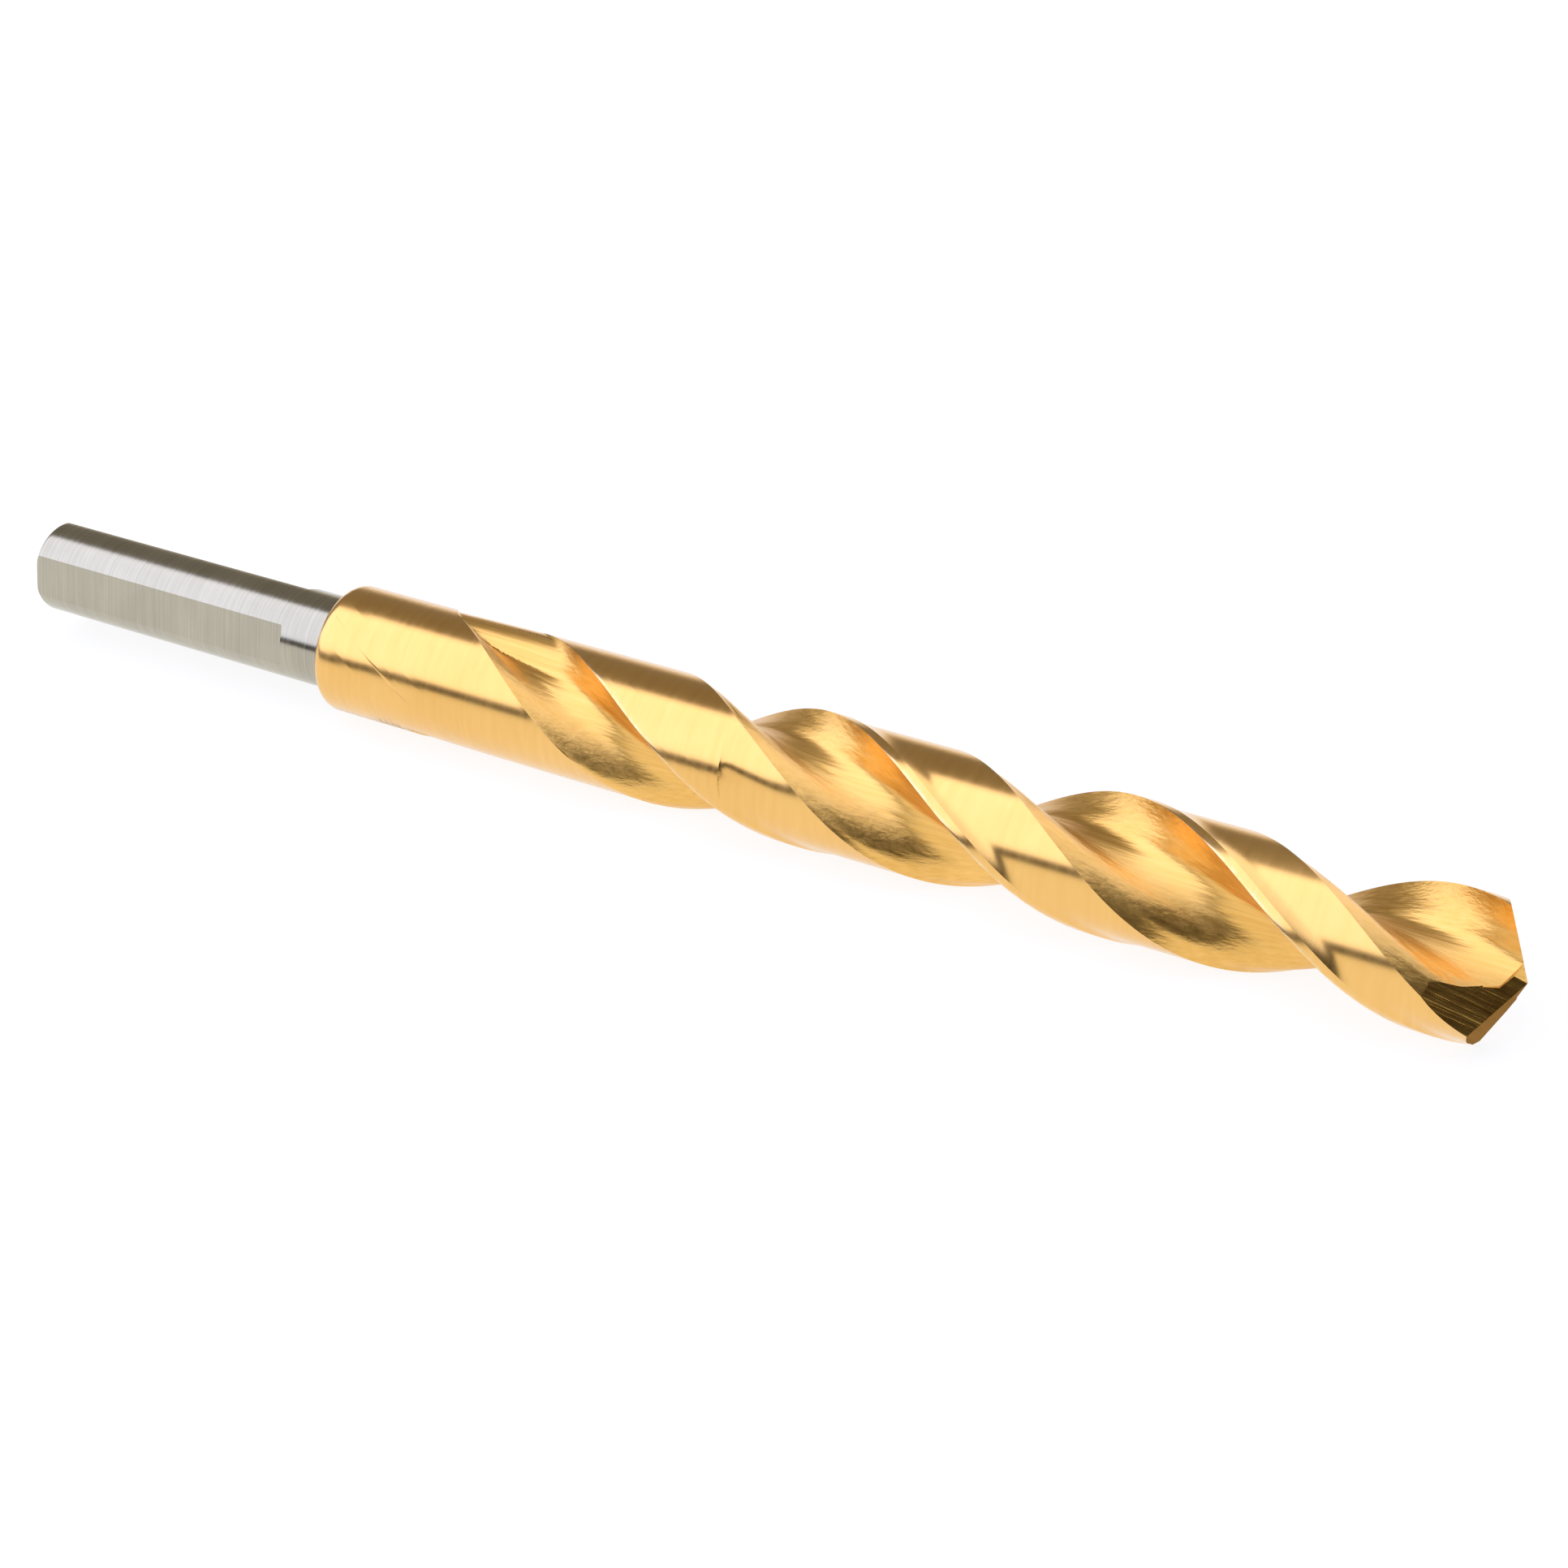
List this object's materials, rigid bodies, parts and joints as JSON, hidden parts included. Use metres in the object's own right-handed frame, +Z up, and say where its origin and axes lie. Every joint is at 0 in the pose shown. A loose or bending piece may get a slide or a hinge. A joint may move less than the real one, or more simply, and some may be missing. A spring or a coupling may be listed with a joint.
{
  "type": "twist drill bit",
  "caption": "Right-hand twist drill with gold-coated helical flutes and split point, on a reduced bare steel shank with flats for a chuck",
  "frame": {"origin": "centre of the flat butt face of the shank, on the drill's axis", "axes": "+X along the axis from shank to point, +Z up with the drill lying as in the picture, +Y completes the right-handed frame"},
  "size_m": [0.1524, 0.0126, 0.0126],
  "materials": {
    "coated_steel": "gold nitride coating on ground high speed steel, satin bright",
    "bare_steel": "turned and ground bare steel"
  },
  "bodies": {
    "root": {"cutting_body": "coated_steel", "shank": "bare_steel"}
  },
  "joints": []
}
